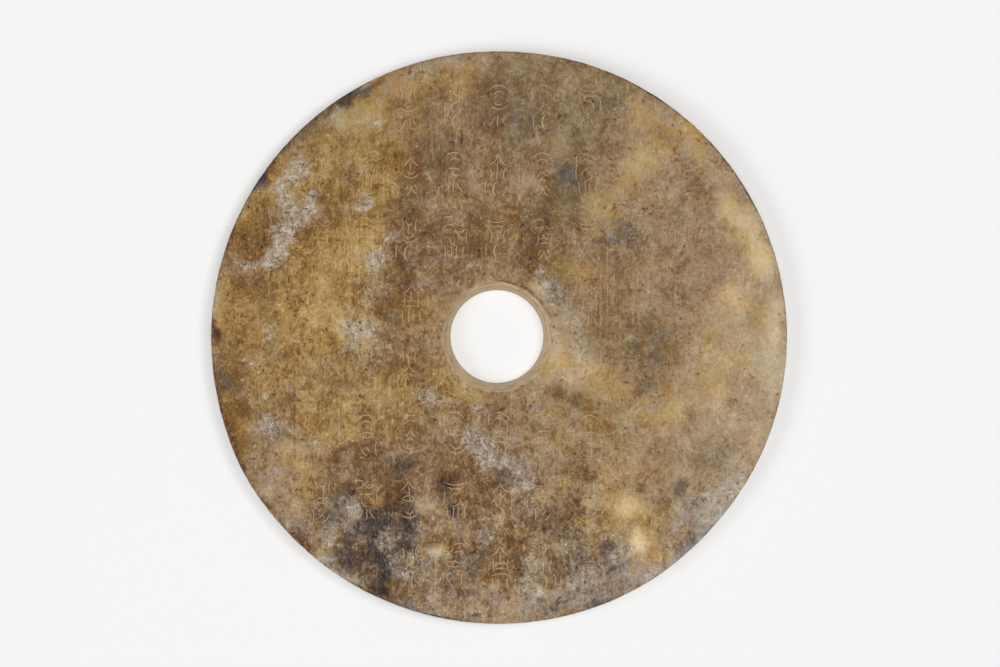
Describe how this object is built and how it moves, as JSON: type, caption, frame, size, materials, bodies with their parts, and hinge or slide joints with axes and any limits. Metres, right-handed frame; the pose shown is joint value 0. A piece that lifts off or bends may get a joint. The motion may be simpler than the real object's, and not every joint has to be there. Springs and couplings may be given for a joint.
{
  "type": "jade bi disc",
  "caption": "Flat round disc of carved jade with a drilled central bore, rounded rim, small chips and rows of shallow incised strokes on its upper face.",
  "frame": {"origin": "centre of the disc's outline, on the surface that its underside lies on", "axes": "+Z through the thickness, out of the inscribed upper face; +X and +Y across the disc, with the rows of strokes along X and their tops towards +Y"},
  "size_m": [0.2204, 0.2192, 0.008],
  "materials": {
    "jade": "worn polish, matt where the stone has altered"
  },
  "bodies": {
    "root": {"bi_disc": "jade"}
  },
  "joints": []
}
